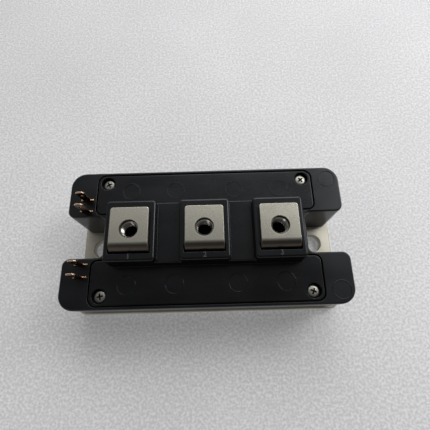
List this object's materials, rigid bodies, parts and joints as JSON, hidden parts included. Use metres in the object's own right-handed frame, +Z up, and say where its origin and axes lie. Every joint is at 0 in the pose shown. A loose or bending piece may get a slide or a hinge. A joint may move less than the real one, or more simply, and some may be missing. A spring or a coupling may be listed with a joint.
{
  "type": "dual diode module",
  "caption": "Flat black power module on a nickel-plated base plate, with raised screw terminals, push-on signal tabs and open end notches over the mounting holes.",
  "frame": {"origin": "centre of the underside of the base plate", "axes": "+X along the length, towards the end with no signal tabs; +Y across the module, away from the bent side of the terminals; +Z up, out of the terminals"},
  "size_m": [0.094, 0.048, 0.03],
  "materials": {
    "plate_nickel": "nickel-plated copper, matt with faint rolling lines",
    "case_plastic": "glass-filled black plastic, satin moulded surface",
    "cover_plastic": "glass-filled black plastic, satin moulded surface",
    "screw_nickel": "nickel-plated steel",
    "terminal_nickel": "nickel-plated copper strip, satin",
    "nut_steel": "nickel-plated steel with a machined thread",
    "tab_metal": "stamped copper alloy, lightly toned",
    "copper": "bare copper",
    "white_ceramic": "fired ceramic, matt white",
    "silicon": "polished silicon with a metallised face",
    "wire_aluminium": "drawn aluminium wire"
  },
  "bodies": {
    "root": {"base_plate": "plate_nickel", "case_frame": "case_plastic", "cover": "cover_plastic", "cover_screw_back_left": "screw_nickel", "cover_screw_back_right": "screw_nickel", "cover_screw_front_left": "screw_nickel", "cover_screw_front_right": "screw_nickel", "terminal_left": "terminal_nickel", "terminal_middle": "terminal_nickel", "terminal_right": "terminal_nickel", "nut_left": "nut_steel", "nut_middle": "nut_steel", "nut_right": "nut_steel", "tab_back_outer": "tab_metal", "tab_back_inner": "tab_metal", "tab_front_inner": "tab_metal", "tab_front_outer": "tab_metal", "back_copper_left": "copper", "back_copper_right": "copper", "substrate_left": "white_ceramic", "substrate_right": "white_ceramic", "tracks_left": "copper", "tracks_right": "copper", "transistor_die_left": "silicon", "transistor_die_right": "silicon", "diode_die_left": "silicon", "diode_die_right": "silicon", "bond_wires_left": "wire_aluminium", "bond_wires_right": "wire_aluminium", "link_wires": "wire_aluminium"}
  },
  "joints": []
}
